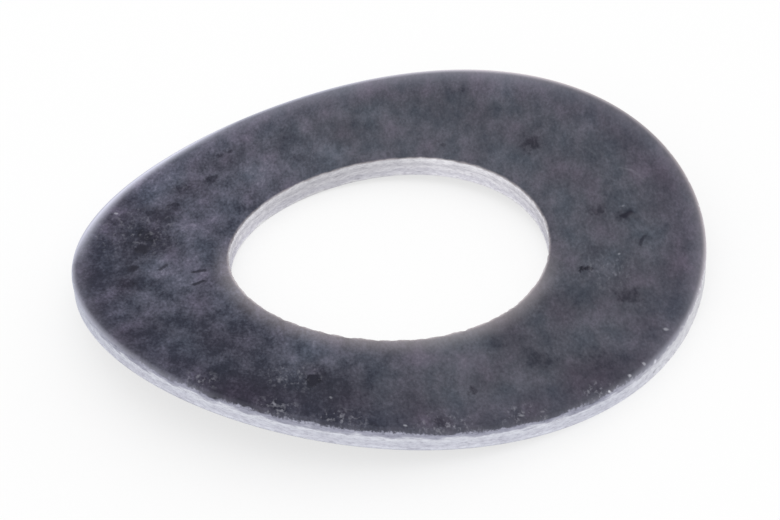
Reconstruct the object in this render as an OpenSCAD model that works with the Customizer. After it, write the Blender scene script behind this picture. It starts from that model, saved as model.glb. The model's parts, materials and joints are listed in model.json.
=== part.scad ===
// Curved spring washer, punched from flat spring steel strip and bowed about one axis.
// The washer lies on the bottom of its bow, with the valley along X and the two raised tips at +Y and -Y.
// Origin: centre of the hole, at the height of the surface that the washer lies on. Z points up.

/* [Blank] */
// Outside diameter
outside_d = 25.4; // [20:0.1:40]
// Diameter of the bolt hole
hole_d = 12.9; // [6:0.1:16]
// Thickness of the strip
strip_t = 0.91; // [0.7:0.01:1.4]

/* [Bow] */
// Height over all of the bowed strip when nothing presses on it, before its edges are rounded
free_h = 2.63; // [2:0.01:4]

/* [Edges] */
// Width of the rounding that the die drew round the outside of the upper face
outer_roll_w = 0.28; // [0.1:0.01:0.4]
// Depth of that rounding, down the outside wall
outer_roll_d = 0.2; // [0.1:0.01:0.25]
// Tumbled edge round the outside of the lower face, where the cut broke out
outer_break = 0.16; // [0.06:0.01:0.2]
// Width of the rounding that the punch drew round the hole in the lower face
hole_roll_w = 0.16; // [0.1:0.01:0.4]
// Depth of that rounding, up the wall of the hole
hole_roll_d = 0.12; // [0.1:0.01:0.25]
// Tumbled edge round the hole in the upper face, where the cut broke out
hole_break = 0.08; // [0.04:0.01:0.12]

/* [Smoothness] */
// Facets round each rolled edge
rim_steps = 96; // [60:12:144]
// Facets across each rolled edge
roll_steps = 3; // [2:1:5]

/* [Hidden] */

outside_r = outside_d / 2;
hole_r = hole_d / 2;
// The upper face is the inside of the bow, an arc that rises by tip_rise over the outside radius
tip_rise = free_h - strip_t;
upper_r = (pow(outside_r, 2) + pow(tip_rise, 2)) / (2 * tip_rise);
lower_r = upper_r + strip_t;
bow_axis_z = lower_r;

// How far a cutting tool stands clear of the metal that it cuts
clear = 1;
// The same for the thin tools that follow the rims
rim_clear = 0.06;
// Each rolled edge is an elliptical arc, run off at both ends so that it meets face and wall at this angle
run_off = 14;

face_colour = "#565863";
cut_colour = "#c4c6cc";

// Height of a face of the bent strip, at y across the bow
function upper_z(y) = bow_axis_z - sqrt(pow(upper_r, 2) - pow(y, 2));
function lower_z(y) = bow_axis_z - sqrt(pow(lower_r, 2) - pow(y, 2));

// Section of the metal that a rounded edge leaves out, as [into the metal from the wall, in from the face].
// The arc's two ends run on in straight lines, past the wall and past the face.
function arc_point(w, d, a) = [w * (1 - cos(a)), d * (1 - sin(a))];
function edge_section(w, d, steps) =
    let (
        first = arc_point(w, d, run_off),
        last = arc_point(w, d, 90 - run_off),
        past_wall = (first[0] + rim_clear) / (w * sin(run_off)),
        past_face = (last[1] + rim_clear) / (d * sin(run_off))
    )
    concat(
        [[-rim_clear, first[1] + past_wall * d * cos(run_off)]],
        [for (i = [0:steps]) arc_point(w, d, run_off + i * (90 - 2 * run_off) / steps)],
        [[last[0] + past_face * w * cos(run_off), -rim_clear], [-rim_clear, -rim_clear]]
    );

// A point of a rim tool: side is 1 on the outside wall and -1 in the hole, face is 1 above and -1 below
function rim_point(p, turn, wall_r, side, face) =
    let (r = wall_r - side * p[0], y = r * sin(turn))
    [r * cos(turn), y, (face > 0 ? upper_z(y) : lower_z(y)) - face * p[1]];

// Thin closed ring that rounds one edge of the bent strip, wherever the bow carries that edge
module rim_tool(wall_r, w, d, side, face, steps) {
    section = edge_section(w, d, steps);
    n = len(section);
    points = [
        for (j = [0:rim_steps - 1], p = section) rim_point(p, j * 360 / rim_steps, wall_r, side, face)
    ];
    corners = [
        for (j = [0:rim_steps - 1], i = [0:n - 1])
            let (k = (j + 1) % rim_steps, m = (i + 1) % n)
            [j * n + i, j * n + m, k * n + m, k * n + i]
    ];
    // the winding follows the side and the face, so that the ring's surface always faces outwards
    faces = [
        for (q = corners, half = [[q[0], q[1], q[2]], [q[0], q[2], q[3]]])
            side * face < 0 ? half : [half[2], half[1], half[0]]
    ];
    polyhedron(points, faces, convexity = 4);
}

// The strip, bent to one radius about an axis over the valley
module bent_strip() {
    long = outside_d + 2 * clear;
    translate([0, 0, bow_axis_z])
    rotate([0, 90, 0])
    difference() {
        cylinder(r = lower_r, h = long, center = true, $fn = 720);
        cylinder(r = upper_r, h = long + 2 * clear, center = true, $fn = 720);
    }
}

// An upright round, as tall as the washer and clear of it above and below
module upright_round(r) {
    translate([0, 0, -clear])
    cylinder(r = r, h = free_h + 2 * clear, $fn = 180);
}

module washer() {
    difference() {
        color(face_colour)
        intersection() {
            bent_strip();
            upright_round(outside_r);
        }
        color(cut_colour) {
            upright_round(hole_r);
            rim_tool(outside_r, outer_roll_w, outer_roll_d, 1, 1, roll_steps);
            rim_tool(outside_r, outer_break, outer_break, 1, -1, roll_steps);
            rim_tool(hole_r, hole_break, hole_break, -1, 1, 1);
            rim_tool(hole_r, hole_roll_w, hole_roll_d, -1, -1, roll_steps);
        }
    }
}

washer();
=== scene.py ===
"""Curved spring washer: a ring punched from blued spring steel strip and bowed about one axis."""
import json
import math

import bmesh
import bpy
from mathutils import Matrix, Vector


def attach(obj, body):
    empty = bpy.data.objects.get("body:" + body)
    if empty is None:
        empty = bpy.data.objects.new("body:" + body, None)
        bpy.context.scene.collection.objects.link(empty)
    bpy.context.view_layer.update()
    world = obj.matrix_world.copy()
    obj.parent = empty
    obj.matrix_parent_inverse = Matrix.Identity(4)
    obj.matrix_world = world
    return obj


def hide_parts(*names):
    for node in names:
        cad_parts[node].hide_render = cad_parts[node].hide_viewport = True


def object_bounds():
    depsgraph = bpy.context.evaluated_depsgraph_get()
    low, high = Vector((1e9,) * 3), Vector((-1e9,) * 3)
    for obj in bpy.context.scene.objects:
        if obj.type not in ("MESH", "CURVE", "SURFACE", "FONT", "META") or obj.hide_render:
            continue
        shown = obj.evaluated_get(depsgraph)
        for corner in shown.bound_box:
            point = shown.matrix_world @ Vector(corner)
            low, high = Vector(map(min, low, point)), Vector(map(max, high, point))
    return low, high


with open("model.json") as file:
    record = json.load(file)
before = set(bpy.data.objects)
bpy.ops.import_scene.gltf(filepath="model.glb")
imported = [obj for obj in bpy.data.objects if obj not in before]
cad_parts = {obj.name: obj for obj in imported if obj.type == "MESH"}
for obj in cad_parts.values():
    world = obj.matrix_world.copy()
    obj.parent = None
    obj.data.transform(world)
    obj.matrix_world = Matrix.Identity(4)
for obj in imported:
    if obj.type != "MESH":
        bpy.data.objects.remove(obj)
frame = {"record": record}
cad_low, cad_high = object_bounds()

mm = 0.001

# Sizes of the washer, from the frame where it holds them and otherwise as the CAD solid has them
outside_r = cad_high.x
hole_r = frame["record"]["mounts"][0]["dims"]["r_mm"] * mm
middle_r = (hole_r + outside_r) / 2
strip_t = 0.91 * mm
tip_rise = 1.72 * mm
outer_roll_w = 0.28 * mm
outer_roll_d = 0.2 * mm
outer_break = 0.16 * mm
hole_roll_w = 0.16 * mm
hole_roll_d = 0.12 * mm
hole_break = 0.08 * mm

# The two faces are arcs about one axis along X, over the valley
upper_r = (outside_r ** 2 + tip_rise ** 2) / (2 * tip_rise)
lower_r = upper_r + strip_t
bow_axis_z = lower_r

# Facets round the ring
turn_steps = 720
# Where a height or a radius counts as the same
near = 0.001 * mm
# The press that bows the ring: how far it reaches along and across the valley, and its rows of points
press_long = 2.2 * outside_r
press_wide = 2.6 * outside_r
press_rows = 25

# The hole's upper lip, where the slug tore off: how far over the face and down the wall it is rough
lip_w = 0.3 * mm
lip_d = 0.35 * mm
# The land that the tools wiped smooth on both walls: the height where it ends, and its share of roughness
land_end = 0.6 * strip_t
land_share = 0.4
# The nick in the outside wall at the front: its place in the flat ring, its push, and how far it reaches
nick_place = Vector((2.7 * mm, -12.4 * mm, 0.68 * mm))
nick_push = (-0.02 * mm, 0.09 * mm, 0)
nick_reach = 0.3 * mm

# Where the photograph was taken from, seen from the middle of the hole
view_azimuth = math.radians(42.8)
view_elevation = math.radians(34.5)
view_roll = math.radians(3.72)
view_distance = 79.4 * mm
# The lens that frames it: film and focal length in millimetres, and the shift as a share of the width
film_width = 36
focal_length = 90.2
frame_shift = (0.0008, -0.0028)

# The studio, in metres and watts
floor_size = 4
softbox_size = 0.5
softbox_power = 0.35
softbox_place = (-0.30, 0.28, 0.34)
# Strength of the white all round as light on matt things. It is 1 where it is seen or mirrored
studio_level = 0.95
# Share of the floor's white that is its own, so that only a soft shadow is left on it
floor_glow = 0.7

# Direction in which the strip was rolled, and how many times longer its skin's patterns are along it
rolled_way = math.radians(-47)
rolled_stretch = 1.7

# Real sizes of the oxide's patterns, in mm: broad clouds, blotches, and drifts of its hue
cloud_size = 2.778
blotch_size = 0.6667
hue_size = 1.333
# Grain of the skin, and the specks that tumbling rubbed bare. Both are finer on the real strip, and are
# drawn as coarse as they need to show
grain_size = 0.1111
speck_size = 0.1818
# Waves in the outlines of marks, and how far in mm they carry those of wide marks and of fine ones
stray_size = 0.3846
ragged_reach = (1.3, 1.3, 0)
frayed_reach = (0.25, 0.25, 0.25)
# Length of the streaks and the grit along a wall, and how many times less tall they are
streak_size = 0.909
grit_size = 0.25
streak_stretch = 4.0
# How far the streaks carry the bands of a wall up and down, in mm
band_sway = 0.6
# How far the streaks and the grain carry the border of the bare metal on the outside rim, in mm, and how
# far the streaks carry that on the hole's lip
rim_sway = 0.3
rim_fray = 0.25
lip_sway = 0.1
# Height of the bumps in the oxide
bump_height = 0.03 * mm

# A noise swings about this value
noise_middle = 0.5
# Tone of plain oxide, from 0 for the darkest to 1 for the palest, and how far a full stain darkens it
oxide_tone = 0.542
stain_depth = 0.8
# Roughness of the satin skin where the blotches are darkest, and how much more it is where they are palest
satin_rough = 0.34
satin_swing = 0.24
# Share of a mark's radius within which it has its full strength
mark_core = 0.25
# What the oxide keeps of a metal's mirror at a glancing view
skin_edge = (0.6, 0.6, 0.62, 1)

# Ways out from the middle of the hole: to where the outside rim has the most painted sheen, and where the
# hole's rim has it
rim_sheen_way = (-0.68, 0.73, 0)
hole_sheen_way = (0.574, -0.819, 0)
# To the end where bare metal reaches furthest in, and to where thin oxide on the rim has a tint of straw
bare_end = (-0.966, -0.259, 0)
straw_rim = (0.259, 0.966, 0)
# To where the hole's wall has the most painted shade, and to where the oxide is the most clouded
shaded_hole_way = (-0.906, 0.423, 0)
most_clouded = (-0.574, -0.819, 0)

# Marks, each as x, y and radius in mm and a strength. Those on a wall have their depth below the upper
# face before the radius. Clouds are thick oxide and clearings are thin, stains are dark, flecks are
# bright, and scuffs are places where the skin is rubbed all over
clouds = [
    (-7.9, -6.2, 2.1, 0.2), (-6.3, -8.5, 1.8, 0.17), (-9.3, -4.6, 1.7, 0.21), (-7.3, -7.4, 1.6, 0.14),
    (3.2, -11.5, 2.4, 0.16), (5.3, -9.2, 2.4, 0.11), (-0.3, -9.0, 2.4, 0.05), (9.6, -2.2, 1.2, 0.03),
    (12.1, -1.4, 2.6, 0.17), (11.4, 3.0, 3.4, 0.06), (7.9, -1.2, 2.0, 0.08), (7.9, 1.0, 1.6, 0.12),
    (-10.6, 0.7, 1.4, 0.11), (-10.0, -1.6, 1.3, 0.12), (-9.2, 3.5, 1.3, 0.08), (-7.1, 5.5, 1.6, 0.11),
    (-7.5, 2.8, 1.0, 0.03), (-6.5, 8.3, 1.8, 0.05), (-3.9, 9.2, 2.2, 0.05), (0.6, 9.2, 1.5, 0.06),
    (8.7, 2.6, 2.2, 0.06), (2.9, 8.6, 2.2, 0.06),
]
clearings = [
    (-5.4, -6.8, 2.2, 0.1), (2.6, -7.7, 1.9, 0.1), (6.6, -4.2, 2.4, 0.1), (-8.5, 1.3, 1.3, 0.08),
    (-4.6, -10.4, 2.2, 0.04), (-7.4, -3.4, 1.4, 0.09), (9.5, -6.0, 2.0, 0.07), (-3.4, 11.2, 2.2, 0.1),
    (8.7, 7.2, 1.4, 0.06), (-11.6, -2.0, 1.8, 0.2), (-1.0, -11.4, 2.0, 0.12), (-6.8, 3.8, 1.2, 0.06),
    (1.6, 10.8, 1.1, 0.06),
]
stains = [
    (-7.6, -6.5, 0.4, 1.0), (-8.3, -5.4, 0.9, 0.5), (-9.6, -0.5, 0.45, 0.6), (-10.2, -1.8, 0.5, 0.6),
    (-10.8, 1.2, 0.4, 0.5), (-9.3, 3.6, 0.45, 0.12), (-7.7, 2.9, 0.4, 0.25), (-6.8, -7.8, 0.35, 0.9),
    (4.1, -8.9, 0.4, 1.2), (3.7, -8.5, 1.0, 0.25), (0.6, 8.8, 0.6, 0.55), (-4.5, 10.2, 0.2, 0.25),
    (-2.7, 6.9, 0.25, 0.3), (6.8, 7.0, 0.7, 0.35), (-9.3, -3.1, 0.4, 0.5), (-6.0, -8.8, 0.4, 0.5),
    (5.6, 6.7, 0.5, 0.35), (8.2, 6.1, 0.5, 0.3), (7.3, 3.4, 0.28, 0.9), (9.7, 3.0, 0.7, 0.5),
    (9.4, -2.2, 0.8, 0.3), (8.7, -5.4, 0.35, 0.6), (9.3, -7.7, 0.6, 0.5), (7.0, 4.6, 0.8, 0.3),
]
flecks = [
    (-10.7, -5.1, 0.13, 0.25), (4.7, -11.2, 0.1, 0.08), (5.4, -9.4, 0.1, 0.15), (8.5, -8.9, 0.11, 0.25),
    (12.0, 2.1, 0.12, 0.2), (11.0, -5.5, 0.12, 0.15), (11.4, -4.8, 0.1, 0.12), (6.3, 7.4, 0.09, 0.1),
    (7.9, 4.9, 0.09, 0.15), (7.0, 7.1, 0.3, 0.03), (12.5, -2.2, 0.08, 0.1, 0.8),
    (12.5, -1.0, 0.02, 0.1, 0.4), (12.5, -0.1, 0.02, 0.1, 0.3), (12.7, 0.4, 0.17, 0.12, 0.8),
    (12.7, -0.9, 0.4, 0.16, 0.9),
]
scuffs = [
    (-9.0, -5.6, 3.2, 0.45), (-10.4, -1.2, 2.0, 0.15), (3.5, -9.3, 1.6, 0.6), (6.8, -10.4, 1.4, 0.9),
    (9.6, -8.0, 1.5, 1.0), (11.3, -5.6, 1.3, 1.0), (4.6, -11.4, 1.1, 1.0), (1.5, -12.0, 1.0, 0.8),
    (8.2, 3.8, 1.6, 0.4), (12.3, -2.6, 1.0, 1.0),
]

# Lines, each from one place to another in x, y and depth, with its half width in mm and a strength:
# dark nicks and bright scratches
nicks = [
    ((-7.6, -6.5, 0), (-7.7, -6.3, 0), 0.38, 1.0), ((-6.7, -7.9, 0), (-6.8, -7.7, 0), 0.3, 0.85),
    ((-4.8, -6.3, 0), (-4.6, -5.9, 0), 0.15, 0.85), ((-4.1, -7.0, 0), (-4.0, -6.5, 0), 0.14, 0.9),
    ((-5.9, -7.1, 0), (-6.0, -6.7, 0), 0.14, 0.7), ((6.7, 6.9, 0), (6.8, 7.2, 0), 0.19, 1.0),
    ((8.3, 5.8, 0), (8.1, 6.3, 0), 0.13, 0.6), ((12.7, 0.9, 0.6), (12.7, 0.3, 0.6), 0.05, 0.5),
    ((2.6, -12.4, 0.2), (2.8, -12.4, 0.25), 0.12, 0.6), ((4.3, -9.2, 0), (4.0, -8.8, 0), 0.26, 1.0),
]
scratches = [
    ((2.8, 9.7, 0), (3.4, 9.5, 0), 0.08, 0.02), ((4.8, 9.3, 0), (5.4, 9.4, 0), 0.08, 0.03),
    ((5.4, 9.4, 0), (6.2, 9.1, 0), 0.08, 0.02), ((4.3, 8.5, 0), (4.8, 8.6, 0), 0.08, 0.015),
]


def linear(hex_colour):
    """Turns an sRGB hex colour into the linear colour that a socket takes."""
    parts = [int(hex_colour[i:i + 2], 16) / 255 for i in (1, 3, 5)]
    return [p / 12.92 if p <= 0.04045 else ((p + 0.055) / 1.055) ** 2.4 for p in parts] + [1]


def pick(piece, wanted):
    """In edit mode, selects the points whose place passes the test, and nothing else."""
    bpy.ops.mesh.select_all(action="DESELECT")
    mesh = bmesh.from_edit_mesh(piece.data)
    for point in mesh.verts:
        point.select_set(wanted(point.co))
    mesh.select_flush(True)
    bmesh.update_edit_mesh(piece.data)


def round_corner(section, x, z, width, depth, steps):
    """Rounds one corner of the strip's section, to a width along the face and a depth down the wall."""
    pick(section, lambda co: abs(co.x - x) < near and abs(co.z - z) < near)
    bpy.ops.mesh.bevel(offset=width, segments=steps, affect="VERTICES")
    pick(section, lambda co: abs(co.x - x) < width + near and abs(co.z - z) < width + near)
    bpy.ops.transform.resize(value=(1, 1, depth / width), center_override=(x, 0, z))


def cut_line(section, wanted, cuts):
    """Divides a straight line of the section, so that the faces can bend and the walls can wander."""
    pick(section, wanted)
    bpy.ops.mesh.subdivide(number_cuts=cuts)


def flat_ring():
    """The blank as it leaves the punch: a section with rounded corners, turned once round the hole."""
    bpy.ops.mesh.primitive_plane_add(
        size=1, location=(middle_r, 0, strip_t / 2), rotation=(math.pi / 2, 0, 0))
    ring = bpy.context.object
    ring.name = "washer_ring"
    ring.scale = (outside_r - hole_r, strip_t, 1)
    bpy.ops.object.transform_apply(location=True, rotation=True, scale=True)
    bpy.ops.object.mode_set(mode="EDIT")
    round_corner(ring, outside_r, strip_t, outer_roll_w, outer_roll_d, steps=8)
    round_corner(ring, outside_r, 0, outer_break, outer_break, steps=5)
    round_corner(ring, hole_r, strip_t, hole_break, hole_break, steps=3)
    round_corner(ring, hole_r, 0, hole_roll_w, hole_roll_d, steps=6)
    cut_line(ring, lambda co: co.z > strip_t - near, cuts=36)
    cut_line(ring, lambda co: co.z < near, cuts=12)
    cut_line(ring, lambda co: co.x > outside_r - near, cuts=12)
    cut_line(ring, lambda co: co.x < hole_r + near, cuts=14)
    # only the outline of the section is turned
    bpy.ops.mesh.select_all(action="SELECT")
    bpy.ops.mesh.delete(type="ONLY_FACE")
    bpy.ops.object.mode_set(mode="OBJECT")
    turn = ring.modifiers.new("turn", "SCREW")
    turn.steps = turn.render_steps = turn_steps
    turn.use_merge_vertices = True
    turn.merge_threshold = near
    bpy.ops.object.modifier_apply(modifier="turn")
    bpy.ops.object.mode_set(mode="EDIT")
    bpy.ops.mesh.select_all(action="SELECT")
    bpy.ops.mesh.remove_doubles(threshold=near)
    bpy.ops.mesh.normals_make_consistent(inside=False)
    bpy.ops.object.mode_set(mode="OBJECT")
    return ring


def note_depth(ring):
    """Keeps each point's depth below the upper face of the flat strip, in mm, for the steel's finish."""
    depth = ring.data.attributes.new("depth", "FLOAT", "POINT")
    for point, value in zip(ring.data.vertices, depth.data):
        value.value = (strip_t - point.co.z) / mm


def roughen(ring, name, weight, grain, swing, out):
    """Moves the surface in and out by a noise of that grain, as far as weight says for each point's
    radius and height. out is the share of the swing that stands proud of the true surface."""
    group = ring.vertex_groups.new(name=name)
    for point in ring.data.vertices:
        share = weight(math.hypot(point.co.x, point.co.y), point.co.z)
        if share > 0:
            group.add([point.index], min(share, 1), "REPLACE")
    relief = bpy.data.textures.new(name, "CLOUDS")
    relief.noise_scale = grain
    relief.noise_depth = 3
    relief.noise_basis = "IMPROVED_PERLIN"
    displace = ring.modifiers.new(name, "DISPLACE")
    displace.texture = relief
    displace.strength = swing
    displace.mid_level = 1 - out
    displace.vertex_group = name
    bpy.ops.object.modifier_apply(modifier=name)
    ring.vertex_groups.clear()


def breakout(radius, z):
    """Share of the roughness on the hole's upper edge, where the slug tore off: full at the lip."""
    return max(0, 1 - (strip_t - z) / lip_d) * max(0, 1 - (radius - hole_r) / lip_w)


def torn_wall(radius, z):
    """Share of the roughness on both walls, below the land that the tools wiped smooth."""
    if hole_r + near < radius < outside_r - near:
        return 0
    return 1 if z < land_end else land_share


def upper_face(radius, z):
    """Share of the faint waviness of the rolled strip."""
    return 1 if z > strip_t - near else 0


def dent(ring, place, push, reach):
    """Pushes in one spot of the flat ring, in a soft hollow of that reach."""
    spot = min(ring.data.vertices, key=lambda point: (point.co - place).length).co.copy()
    bpy.ops.object.mode_set(mode="EDIT")
    pick(ring, lambda co: (co - spot).length < near)
    bpy.ops.transform.translate(
        value=push, use_proportional_edit=True, proportional_size=reach, proportional_edit_falloff="SMOOTH",
        use_proportional_connected=True)
    bpy.ops.object.mode_set(mode="OBJECT")


def bow(ring):
    """Bends the ring as the forming press does. Only heights change, so the walls stay upright."""
    bpy.ops.object.add(type="LATTICE", location=(0, 0, strip_t / 2))
    press = bpy.context.object
    press.scale = (press_long, press_wide, strip_t)
    press.data.points_u = 2
    press.data.points_v = press_rows
    press.data.points_w = 2
    press.data.interpolation_type_u = "KEY_LINEAR"
    press.data.interpolation_type_v = "KEY_CATMULL_ROM"
    press.data.interpolation_type_w = "KEY_LINEAR"
    for point in press.data.points:
        y = point.co.y * press.scale.y
        if point.co.z > 0:
            lift = bow_axis_z - math.sqrt(upper_r ** 2 - y ** 2) - strip_t
        else:
            lift = bow_axis_z - math.sqrt(lower_r ** 2 - y ** 2)
        point.co_deform.z = point.co.z + lift / strip_t
    bpy.context.view_layer.update()
    bpy.context.view_layer.objects.active = ring
    ring.modifiers.new("bow", "LATTICE").object = press
    bpy.ops.object.modifier_apply(modifier="bow")
    bpy.data.objects.remove(press)


def build_washer():
    """The washer in one piece: punched flat, torn and nicked as the real one, and then bowed."""
    bpy.ops.object.select_all(action="DESELECT")
    ring = flat_ring()
    note_depth(ring)
    roughen(ring, "breakout", breakout, grain=0.45 * mm, swing=0.22 * mm, out=0.5)
    roughen(ring, "torn_wall", torn_wall, grain=0.3 * mm, swing=0.05 * mm, out=0)
    roughen(ring, "rolled_strip", upper_face, grain=1.6 * mm, swing=0.016 * mm, out=0)
    dent(ring, nick_place, nick_push, nick_reach)
    bow(ring)
    ring.select_set(True)
    bpy.ops.object.shade_smooth()
    return ring


def add(tree, kind, sockets=None, stops=None, **settings):
    """Adds a node. A socket takes a value, an output, or a node, which then gives its first output.
    Sockets that share a name go by number: 0, 1 and 2 of a sum, and in a mix 0 for the share, 2 and 3
    for numbers, and 6 and 7 for colours. stops are a ramp's colours, as places and hex values."""
    node = tree.nodes.new(kind)
    for name, value in settings.items():
        setattr(node, name, value)
    for name, value in (sockets or {}).items():
        if isinstance(value, bpy.types.Node):
            value = next(output for output in value.outputs if not output.is_unavailable)
        if isinstance(value, bpy.types.NodeSocket):
            tree.links.new(value, node.inputs[name])
        else:
            node.inputs[name].default_value = value
    if stops:
        # a new ramp has two colours
        for place, _ in stops[2:]:
            node.color_ramp.elements.new(place)
        for element, (place, colour) in zip(node.color_ramp.elements, stops):
            element.position = place
            element.color = linear(colour)
    return node


def new_tree(name):
    """A material with nothing in it yet, and its nodes."""
    material = bpy.data.materials.new(name)
    material.use_nodes = True
    material.node_tree.nodes.clear()
    return material, material.node_tree


def spots(tree, place, marks):
    """How far a place lies in one of the marks, from 0 outside to the mark's strength."""
    total = 0.0
    for *centre, radius, strength in marks:
        # a mark that gives no depth lies on the face, at a depth of 0
        away = add(tree, "ShaderNodeVectorMath", {0: place, 1: (*centre, 0)[:3]}, operation="DISTANCE")
        spot = add(tree, "ShaderNodeMapRange", {
            "Value": away.outputs["Value"], "From Min": radius, "From Max": radius * mark_core,
            "To Max": strength}, interpolation_type="SMOOTHSTEP")
        total = add(tree, "ShaderNodeMath", {0: total, 1: spot}, operation="MAXIMUM")
    return total


def lines(tree, place, marks):
    """The same for marks that are straight lines."""
    total = 0.0
    for start, end, width, strength in marks:
        run = Vector(end) - Vector(start)
        past = add(tree, "ShaderNodeVectorMath", {0: place, 1: start}, operation="SUBTRACT")
        share = add(tree, "ShaderNodeVectorMath", {
            0: past, 1: run / run.length_squared}, operation="DOT_PRODUCT")
        share = add(tree, "ShaderNodeClamp", {"Value": share.outputs["Value"]})
        foot = add(tree, "ShaderNodeVectorMath", {0: run, "Scale": share}, operation="SCALE")
        away = add(tree, "ShaderNodeVectorMath", {0: past, 1: foot}, operation="DISTANCE")
        line = add(tree, "ShaderNodeMapRange", {
            "Value": away.outputs["Value"], "From Min": width, "From Max": width * mark_core,
            "To Max": strength}, interpolation_type="SMOOTHSTEP")
        total = add(tree, "ShaderNodeMath", {0: total, 1: line}, operation="MAXIMUM")
    return total


def temper_oxide(tree, rolled, laid, ragged, blotch, grain, wear_and_sheen, straw, from_rim, clouded_side):
    """The blue-grey skin that hardening and tempering leave: clouded, stained, scuffed, and paler
    where it is worn, with painted sheen along the rims and painted shade towards the raised tips. Gives its
    colour and its relief."""
    # patterns of three sizes make it uneven, and more so on the clouded side
    broad = add(tree, "ShaderNodeTexNoise", {
        "Vector": rolled, "Scale": 1 / cloud_size, "Detail": 3, "Roughness": 0.6})
    uneven = 0.0
    for layer, swing in ((broad, 0.3), (blotch, 0.82), (grain, 0.42)):
        layer = add(tree, "ShaderNodeMath", {0: layer, 1: noise_middle}, operation="SUBTRACT")
        uneven = add(tree, "ShaderNodeMath", {0: layer, 1: swing, 2: uneven}, operation="MULTIPLY_ADD")
    clouding = add(tree, "ShaderNodeMapRange", {
        "Value": clouded_side, "From Max": 0.8, "To Min": 0.78, "To Max": 1.4})
    tone = add(tree, "ShaderNodeMath", {0: uneven, 1: clouding, 2: oxide_tone}, operation="MULTIPLY_ADD")
    for marks, gain in ((clouds, -1.0), (clearings, 1.0)):
        cloud = spots(tree, ragged, marks)
        tone = add(tree, "ShaderNodeMath", {0: cloud, 1: gain, 2: tone}, operation="MULTIPLY_ADD")
    # painted shade: the tone falls off towards both raised tips, and most towards the one at -Y
    along = add(tree, "ShaderNodeSeparateXYZ", {0: laid})
    across = add(tree, "ShaderNodeMath", {0: along.outputs["Y"], 1: along.outputs["Y"]}, operation="MULTIPLY")
    for layer, gain in ((along.outputs["X"], -0.0015), (along.outputs["Y"], 0.005), (across, -0.0008)):
        tone = add(tree, "ShaderNodeMath", {0: layer, 1: gain, 2: tone}, operation="MULTIPLY_ADD")
    # stains are patchy, and deepest where the blotches are dark
    patchy = add(tree, "ShaderNodeMath", {0: blotch, 1: -1.2, 2: 1.1}, operation="MULTIPLY_ADD")
    stain = add(tree, "ShaderNodeMath", {0: patchy, 1: spots(tree, ragged, stains)}, operation="MULTIPLY")
    tone = add(tree, "ShaderNodeMath", {0: stain, 1: -stain_depth, 2: tone}, operation="MULTIPLY_ADD")
    oxide = add(tree, "ShaderNodeValToRGB", {"Fac": tone}, stops=[
        (0.0, "#26262d"), (0.3, "#373740"), (0.5, "#4d4e57"), (0.7, "#63646f"), (1.0, "#8c8d98")])

    # the hue drifts. Its blue is a little stronger on the clouded side, and turns to purple along the rim
    drift = add(tree, "ShaderNodeTexNoise", {
        "Vector": rolled, "Scale": 1 / hue_size, "Detail": 3, "Roughness": 0.55})
    tint = add(tree, "ShaderNodeValToRGB", {"Fac": drift}, stops=[
        (0.3, "#eef9fd"), (0.5, "#f9f9fb"), (0.7, "#fdf2f8")])
    cast = add(tree, "ShaderNodeValToRGB", {"Fac": clouded_side}, stops=[
        (0.0, "#fffffc"), (0.8, "#f7f8fe")])
    by_rim = add(tree, "ShaderNodeMapRange", {"Value": from_rim, "From Min": 2.2, "From Max": 0.8})
    purple = add(tree, "ShaderNodeMix", {
        0: by_rim, 6: linear("#ffffff"), 7: linear("#fffaff")}, data_type="RGBA")
    for colour in (tint, cast, purple):
        oxide = add(tree, "ShaderNodeMix", {
            0: 1.0, 6: oxide, 7: colour}, data_type="RGBA", blend_type="MULTIPLY")

    # scuffs are pale specks. Thin oxide is bluish or straw coloured, and its colour also paints the sheen
    # along the rims
    speck = add(tree, "ShaderNodeTexNoise", {
        "Vector": rolled, "Scale": 1 / speck_size, "Detail": 2, "Roughness": 0.6})
    speck = add(tree, "ShaderNodeMapRange", {
        "Value": speck, "From Min": 0.54, "From Max": 0.76, "To Max": 0.38})
    speck = add(tree, "ShaderNodeMath", {0: speck, 1: spots(tree, laid, scuffs)}, operation="MULTIPLY")
    thin = add(tree, "ShaderNodeMix", {
        0: straw, 6: linear("#d4d5e4"), 7: linear("#e3d9db")}, data_type="RGBA")
    for share, paler in ((speck, linear("#c2c2cc")), (wear_and_sheen, thin)):
        oxide = add(tree, "ShaderNodeMix", {0: share, 6: oxide, 7: paler}, data_type="RGBA")
    # the relief is the blotches with half as much of the grain, and stains are pits in it
    relief = add(tree, "ShaderNodeMath", {0: grain, 1: 0.5, 2: blotch}, operation="MULTIPLY_ADD")
    relief = add(tree, "ShaderNodeMath", {0: relief, 1: stain}, operation="SUBTRACT")
    return oxide, relief


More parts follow.
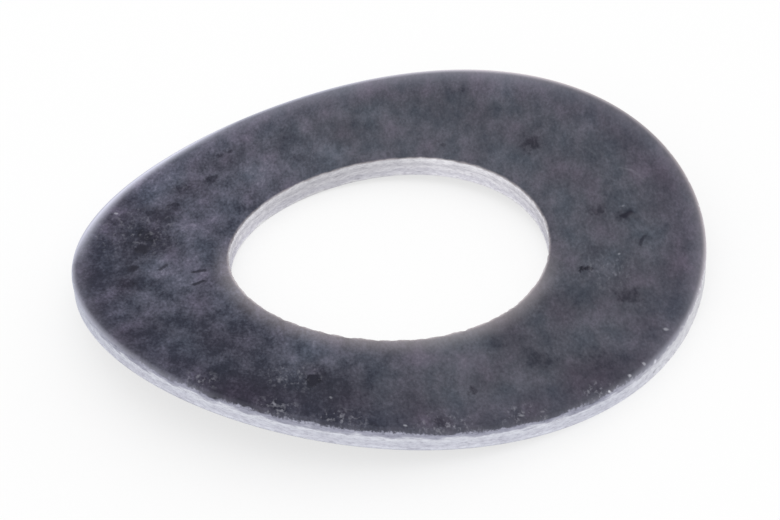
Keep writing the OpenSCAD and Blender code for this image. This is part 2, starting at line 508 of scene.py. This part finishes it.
def sheared_steel(tree, flat, depth, at_hole, wall_end_highlight, shaded_side, clouded_side):
    """The punched walls: a grey land that the tool wiped, a bright line under it, then paler torn
    metal, all in streaks that run round the washer. Gives its colour and the streaks."""
    tall = add(tree, "ShaderNodeMath", {0: depth, 1: streak_stretch}, operation="MULTIPLY")
    drawn = add(tree, "ShaderNodeCombineXYZ", {"Z": tall})
    drawn = add(tree, "ShaderNodeVectorMath", {0: drawn, 1: flat})
    streak = add(tree, "ShaderNodeTexNoise", {
        "Vector": drawn, "Scale": 1 / streak_size, "Detail": 5, "Roughness": 0.6})
    streak = add(tree, "ShaderNodeMath", {0: streak, 1: noise_middle}, operation="SUBTRACT")
    down = add(tree, "ShaderNodeMath", {0: streak, 1: band_sway, 2: depth}, operation="MULTIPLY_ADD")
    share = add(tree, "ShaderNodeMath", {0: down, 1: strip_t / mm}, operation="DIVIDE")
    outside = add(tree, "ShaderNodeValToRGB", {"Fac": share}, stops=[
        (0.0, "#6a6b79"), (0.11, "#898a9a"), (0.18, "#abacbc"), (0.3, "#b7b8c7"), (0.41, "#ebedf5"),
        (0.56, "#dfe1eb"), (0.77, "#dbdce7"), (0.9, "#e9ebf5")])
    hole = add(tree, "ShaderNodeValToRGB", {"Fac": share}, stops=[
        (0.0, "#efeef2"), (0.12, "#faf9fd"), (0.3, "#dedde3"), (0.5, "#f3f2f7"), (0.68, "#e1e0e8"),
        (0.85, "#f3f2f9"), (1.0, "#ffffff")])
    # painted shade darkens the hole's wall on one side, and a painted highlight makes the outside wall nearly
    # white away from the front
    hole_shade = add(tree, "ShaderNodeMapRange", {
        "Value": shaded_side, "From Min": 0.72, "From Max": 1.0, "To Max": 0.3})
    hole = add(tree, "ShaderNodeMix", {0: hole_shade, 6: hole, 7: linear("#63636a")}, data_type="RGBA")
    # painted highlight: away from the front the outside wall is painted nearly white
    end_wall_highlight = add(tree, "ShaderNodeValToRGB", {"Fac": clouded_side}, stops=[
        (0.0, "#fcfcff"), (0.8, "#eef2ff")])
    outside = add(tree, "ShaderNodeMix", {0: wall_end_highlight, 6: outside, 7: end_wall_highlight}, data_type="RGBA")
    wall = add(tree, "ShaderNodeMix", {0: at_hole, 6: outside, 7: hole}, data_type="RGBA")
    # specks of dirt between the grit
    grit = add(tree, "ShaderNodeTexNoise", {
        "Vector": drawn, "Scale": 1 / grit_size, "Detail": 4, "Roughness": 0.7})
    dirt = add(tree, "ShaderNodeValToRGB", {"Fac": grit}, stops=[
        (0.2, "#b4b2b5"), (0.38, "#e8e7ea"), (0.58, "#ffffff")])
    return add(tree, "ShaderNodeMix", {
        0: 1.0, 6: wall, 7: dirt}, data_type="RGBA", blend_type="MULTIPLY"), streak


def blued_spring_steel():
    """Hardened spring steel strip, tempered and then tumbled: a dark satin skin, and bright bare metal
    on the punched walls and along the rims."""
    material, tree = new_tree("blued spring steel, punched and tumbled")
    metres = add(tree, "ShaderNodeTexCoord").outputs["Object"]
    place = add(tree, "ShaderNodeVectorMath", {0: metres, "Scale": 1 / mm}, operation="SCALE")
    rolled = add(tree, "ShaderNodeMapping", {
        "Vector": place, "Rotation": (0, 0, rolled_way), "Scale": (rolled_stretch, 1, 1)},
        vector_type="TEXTURE")
    flat = add(tree, "ShaderNodeVectorMath", {0: place, 1: (1, 1, 0)}, operation="MULTIPLY")
    radius = add(tree, "ShaderNodeVectorMath", {0: flat}, operation="LENGTH").outputs["Value"]
    depth = add(tree, "ShaderNodeAttribute", attribute_name="depth").outputs["Fac"]
    blotch = add(tree, "ShaderNodeTexNoise", {
        "Vector": rolled, "Scale": 1 / blotch_size, "Detail": 5, "Roughness": 0.68})
    grain = add(tree, "ShaderNodeTexNoise", {
        "Vector": rolled, "Scale": 1 / grain_size, "Detail": 2, "Roughness": 0.6})

    # places for the marks: along the surface, and strayed from it so that the marks have ragged outlines
    down = add(tree, "ShaderNodeCombineXYZ", {"Z": depth})
    laid = add(tree, "ShaderNodeVectorMath", {0: flat, 1: down})
    stray = add(tree, "ShaderNodeTexNoise", {
        "Vector": rolled, "Scale": 1 / stray_size, "Detail": 4, "Roughness": 0.6})
    stray = add(tree, "ShaderNodeVectorMath", {
        0: stray.outputs["Color"], 1: [noise_middle] * 3}, operation="SUBTRACT")
    ragged, frayed = [
        add(tree, "ShaderNodeVectorMath", {0: stray, 1: reach, 2: laid}, operation="MULTIPLY_ADD")
        for reach in (ragged_reach, frayed_reach)]

    # how far a place lies towards each of the ways out, from -1 to 1
    around = add(tree, "ShaderNodeVectorMath", {0: flat}, operation="NORMALIZE")
    to_rim_sheen, to_hole_sheen, to_end, to_straw, to_shaded_hole, to_clouded = [
        add(tree, "ShaderNodeVectorMath", {0: around, 1: way}, operation="DOT_PRODUCT").outputs["Value"]
        for way in (rim_sheen_way, hole_sheen_way, bare_end, straw_rim, shaded_hole_way, most_clouded)]
    # painted sheen grows in two steps towards the back of the outside rim, and in one towards the front of
    # the hole's rim. Wear grows in one step towards the bare end
    rim_sheen_share = 0.0
    for first, last in ((-0.9, -0.3), (0.55, 0.97)):
        step = add(tree, "ShaderNodeMapRange", {
            "Value": to_rim_sheen, "From Min": first, "From Max": last, "To Max": 0.5})
        rim_sheen_share = add(tree, "ShaderNodeMath", {0: rim_sheen_share, 1: step}, operation="ADD")
    hole_sheen_share = add(tree, "ShaderNodeMapRange", {
        "Value": to_hole_sheen, "From Min": -0.15, "From Max": 0.5}, interpolation_type="SMOOTHSTEP")
    end = add(tree, "ShaderNodeMapRange", {"Value": to_end, "From Min": 0.85, "From Max": 0.98})
    # the front is the side of the hole's painted sheen. Away from it, at the ends, the outside wall gets a
    # painted highlight
    wall_end_highlight = add(tree, "ShaderNodeMapRange", {
        "Value": to_hole_sheen, "From Min": 0.72, "From Max": 0.3, "To Max": 0.95})

    # distances in from the rims in mm, and the same made longer where the bands of painted sheen are narrower
    from_rim = add(tree, "ShaderNodeMath", {0: outside_r / mm, 1: radius}, operation="SUBTRACT")
    from_hole = add(tree, "ShaderNodeMath", {0: radius, 1: hole_r / mm}, operation="SUBTRACT")
    narrow = add(tree, "ShaderNodeMapRange", {
        "Value": to_rim_sheen, "From Min": -0.1, "From Max": 0.9, "To Min": 1.7, "To Max": 1.0})
    in_rim = add(tree, "ShaderNodeMath", {0: from_rim, 1: narrow}, operation="MULTIPLY")
    narrow = add(tree, "ShaderNodeMapRange", {
        "Value": to_hole_sheen, "From Min": 0.0, "From Max": 0.9, "To Min": 1.5, "To Max": 1.0})
    in_hole = add(tree, "ShaderNodeMath", {0: from_hole, 1: narrow}, operation="MULTIPLY")
    # bands along each rim: thin oxide all round and at the bare end, and painted sheen at the back of the
    # outside rim and the front of the hole's rim. A band has its strength at the rim itself, and falls off in
    # a curve over its reach in mm
    wear_and_sheen = 0.0
    for away, share, reach, strength in (
            (in_rim, rim_sheen_share, 1.6, 0.27), (in_rim, rim_sheen_share, 0.4, 1.7), (from_rim, 1.0, 0.35, 0.1),
            (from_rim, end, 0.68, 1.7), (in_hole, hole_sheen_share, 1.4, 0.27), (in_hole, hole_sheen_share, 0.25, 0.35),
            (from_hole, 1.0, 0.14, 0.5)):
        band = add(tree, "ShaderNodeMapRange", {
            "Value": away, "From Min": reach, "From Max": 0.0, "To Max": math.sqrt(strength)})
        band = add(tree, "ShaderNodeMath", {0: band, 1: band}, operation="MULTIPLY")
        wear_and_sheen = add(tree, "ShaderNodeMath", {0: band, 1: share, 2: wear_and_sheen}, operation="MULTIPLY_ADD")

    at_hole = add(tree, "ShaderNodeMath", {0: radius, 1: middle_r / mm}, operation="LESS_THAN")
    # thin oxide is bluish, but straw coloured on one side of the rim and all round the hole
    straw = add(tree, "ShaderNodeMapRange", {"Value": to_straw, "From Min": 0.35, "From Max": 0.95})
    edge = add(tree, "ShaderNodeMapRange", {"Value": from_rim, "From Min": 0.5, "From Max": 0.1})
    straw = add(tree, "ShaderNodeMath", {0: straw, 1: edge}, operation="MULTIPLY")
    straw = add(tree, "ShaderNodeMath", {0: at_hole, 1: straw}, operation="MAXIMUM")
    oxide, relief = temper_oxide(tree, rolled, laid, ragged, blotch, grain, wear_and_sheen, straw, from_rim, to_clouded)
    wall, streak = sheared_steel(tree, flat, depth, at_hole, wall_end_highlight, to_shaded_hole, to_clouded)

    # bare metal: from just under the outside rim, with a frayed border, and from the very lip of the hole
    fray = add(tree, "ShaderNodeMath", {0: grain, 1: noise_middle}, operation="SUBTRACT")
    below = add(tree, "ShaderNodeMath", {0: streak, 1: rim_sway, 2: depth}, operation="MULTIPLY_ADD")
    below = add(tree, "ShaderNodeMath", {0: fray, 1: rim_fray, 2: below}, operation="MULTIPLY_ADD")
    below = add(tree, "ShaderNodeMapRange", {
        "Value": below, "From Min": 0.09, "From Max": 0.19}, interpolation_type="SMOOTHSTEP")
    rim = add(tree, "ShaderNodeMapRange", {"Value": from_rim, "From Min": 0.36, "From Max": 0.28})
    below = add(tree, "ShaderNodeMath", {0: below, 1: rim}, operation="MULTIPLY")
    lip = add(tree, "ShaderNodeMath", {0: streak, 1: lip_sway, 2: depth}, operation="MULTIPLY_ADD")
    lip = add(tree, "ShaderNodeMapRange", {
        "Value": lip, "From Min": 0.0, "From Max": 0.06}, interpolation_type="SMOOTHSTEP")
    torn = add(tree, "ShaderNodeMapRange", {"Value": from_hole, "From Min": 0.12, "From Max": 0.07})
    lip = add(tree, "ShaderNodeMath", {0: lip, 1: torn}, operation="MULTIPLY")
    bare = add(tree, "ShaderNodeMix", {0: at_hole, 2: below, 3: lip}, data_type="FLOAT")
    colour = add(tree, "ShaderNodeMix", {0: bare, 6: oxide, 7: wall}, data_type="RGBA")

    # dark nicks, which are pits too, and bright scratches and flecks
    nick = lines(tree, frayed, nicks)
    relief = add(tree, "ShaderNodeMath", {0: relief, 1: nick}, operation="SUBTRACT")
    fleck = spots(tree, frayed, flecks)
    bright = add(tree, "ShaderNodeMath", {0: lines(tree, laid, scratches), 1: fleck}, operation="MAXIMUM")
    for share, mark in ((nick, "#2a2a33"), (bright, "#ecedf6")):
        colour = add(tree, "ShaderNodeMix", {0: share, 6: colour, 7: linear(mark)}, data_type="RGBA")

    # satin, and duller where the blotches are pale
    rough = add(tree, "ShaderNodeMath", {
        0: blotch, 1: satin_swing, 2: satin_rough}, operation="MULTIPLY_ADD")
    bump = add(tree, "ShaderNodeBump", {"Height": relief, "Strength": 0.5, "Distance": bump_height})
    steel = add(tree, "ShaderNodeBsdfPrincipled", {
        "Base Color": colour, "Metallic": 1.0, "Roughness": rough, "Specular Tint": skin_edge,
        "Normal": bump})
    add(tree, "ShaderNodeOutputMaterial", {"Surface": steel})
    return material


def seen(tree):
    """1 for rays that come from the camera, straight or by a reflection, and 0 for light's own rays."""
    rays = add(tree, "ShaderNodeLightPath").outputs
    direct = add(tree, "ShaderNodeMath", {
        0: rays["Is Camera Ray"], 1: rays["Is Glossy Ray"]}, operation="MAXIMUM")
    return add(tree, "ShaderNodeMath", {
        0: direct, 1: rays["Is Transmission Ray"]}, operation="MAXIMUM")


def white_floor():
    """A sheet of matt white card, which shows no sheen and only a soft shadow under the washer."""
    material, tree = new_tree("matt white card")
    card = add(tree, "ShaderNodeBsdfDiffuse", {"Color": linear("#fcfcfc")})
    white = add(tree, "ShaderNodeEmission", {"Color": linear("#ffffff"), "Strength": 1.0})
    own = add(tree, "ShaderNodeMath", {0: seen(tree), 1: floor_glow}, operation="MULTIPLY")
    lit = add(tree, "ShaderNodeMixShader", {0: own, 1: card, 2: white})
    add(tree, "ShaderNodeOutputMaterial", {"Surface": lit})
    bpy.ops.mesh.primitive_plane_add(size=floor_size, location=(0, 0, 0))
    floor = bpy.context.object
    floor.name = "floor"
    floor.data.materials.append(material)


def studio_light():
    """Even white light from all round, and one large softbox over the far side."""
    world = bpy.data.worlds.new("studio")
    bpy.context.scene.world = world
    world.use_nodes = True
    tree = world.node_tree
    tree.nodes.clear()
    strength = add(tree, "ShaderNodeMapRange", {"Value": seen(tree), "To Min": studio_level, "To Max": 1.0})
    background = add(tree, "ShaderNodeBackground", {"Color": linear("#ffffff"), "Strength": strength})
    add(tree, "ShaderNodeOutputWorld", {"Surface": background})

    softbox = bpy.data.lights.new("softbox", "AREA")
    softbox.size = softbox_size
    softbox.energy = softbox_power
    lamp = bpy.data.objects.new("softbox", softbox)
    bpy.context.scene.collection.objects.link(lamp)
    lamp.location = softbox_place
    lamp.rotation_euler = (-lamp.location).to_track_quat("-Z", "Y").to_euler()


def camera():
    """Looks at the middle of the hole from where the photograph was taken."""
    towards = Vector((math.sin(view_azimuth) * math.cos(view_elevation),
                      -math.cos(view_azimuth) * math.cos(view_elevation),
                      math.sin(view_elevation)))
    lens = bpy.data.cameras.new("camera")
    lens.sensor_width = film_width
    lens.lens = focal_length
    lens.shift_x, lens.shift_y = frame_shift
    lens.clip_start = 1 * mm
    eye = bpy.data.objects.new("camera", lens)
    bpy.context.scene.collection.objects.link(eye)
    turn = (-towards).to_track_quat("-Z", "Y").to_matrix() @ Matrix.Rotation(-view_roll, 3, "Z")
    middle = Vector((0, 0, strip_t / 2))
    eye.matrix_world = Matrix.Translation(middle + towards * view_distance) @ turn.to_4x4()
    bpy.context.scene.camera = eye


camera()
studio_light()
white_floor()

washer = build_washer()
washer.data.materials.append(blued_spring_steel())
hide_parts("washer")
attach(washer, "root")

bpy.context.scene.view_settings.view_transform = "Standard"
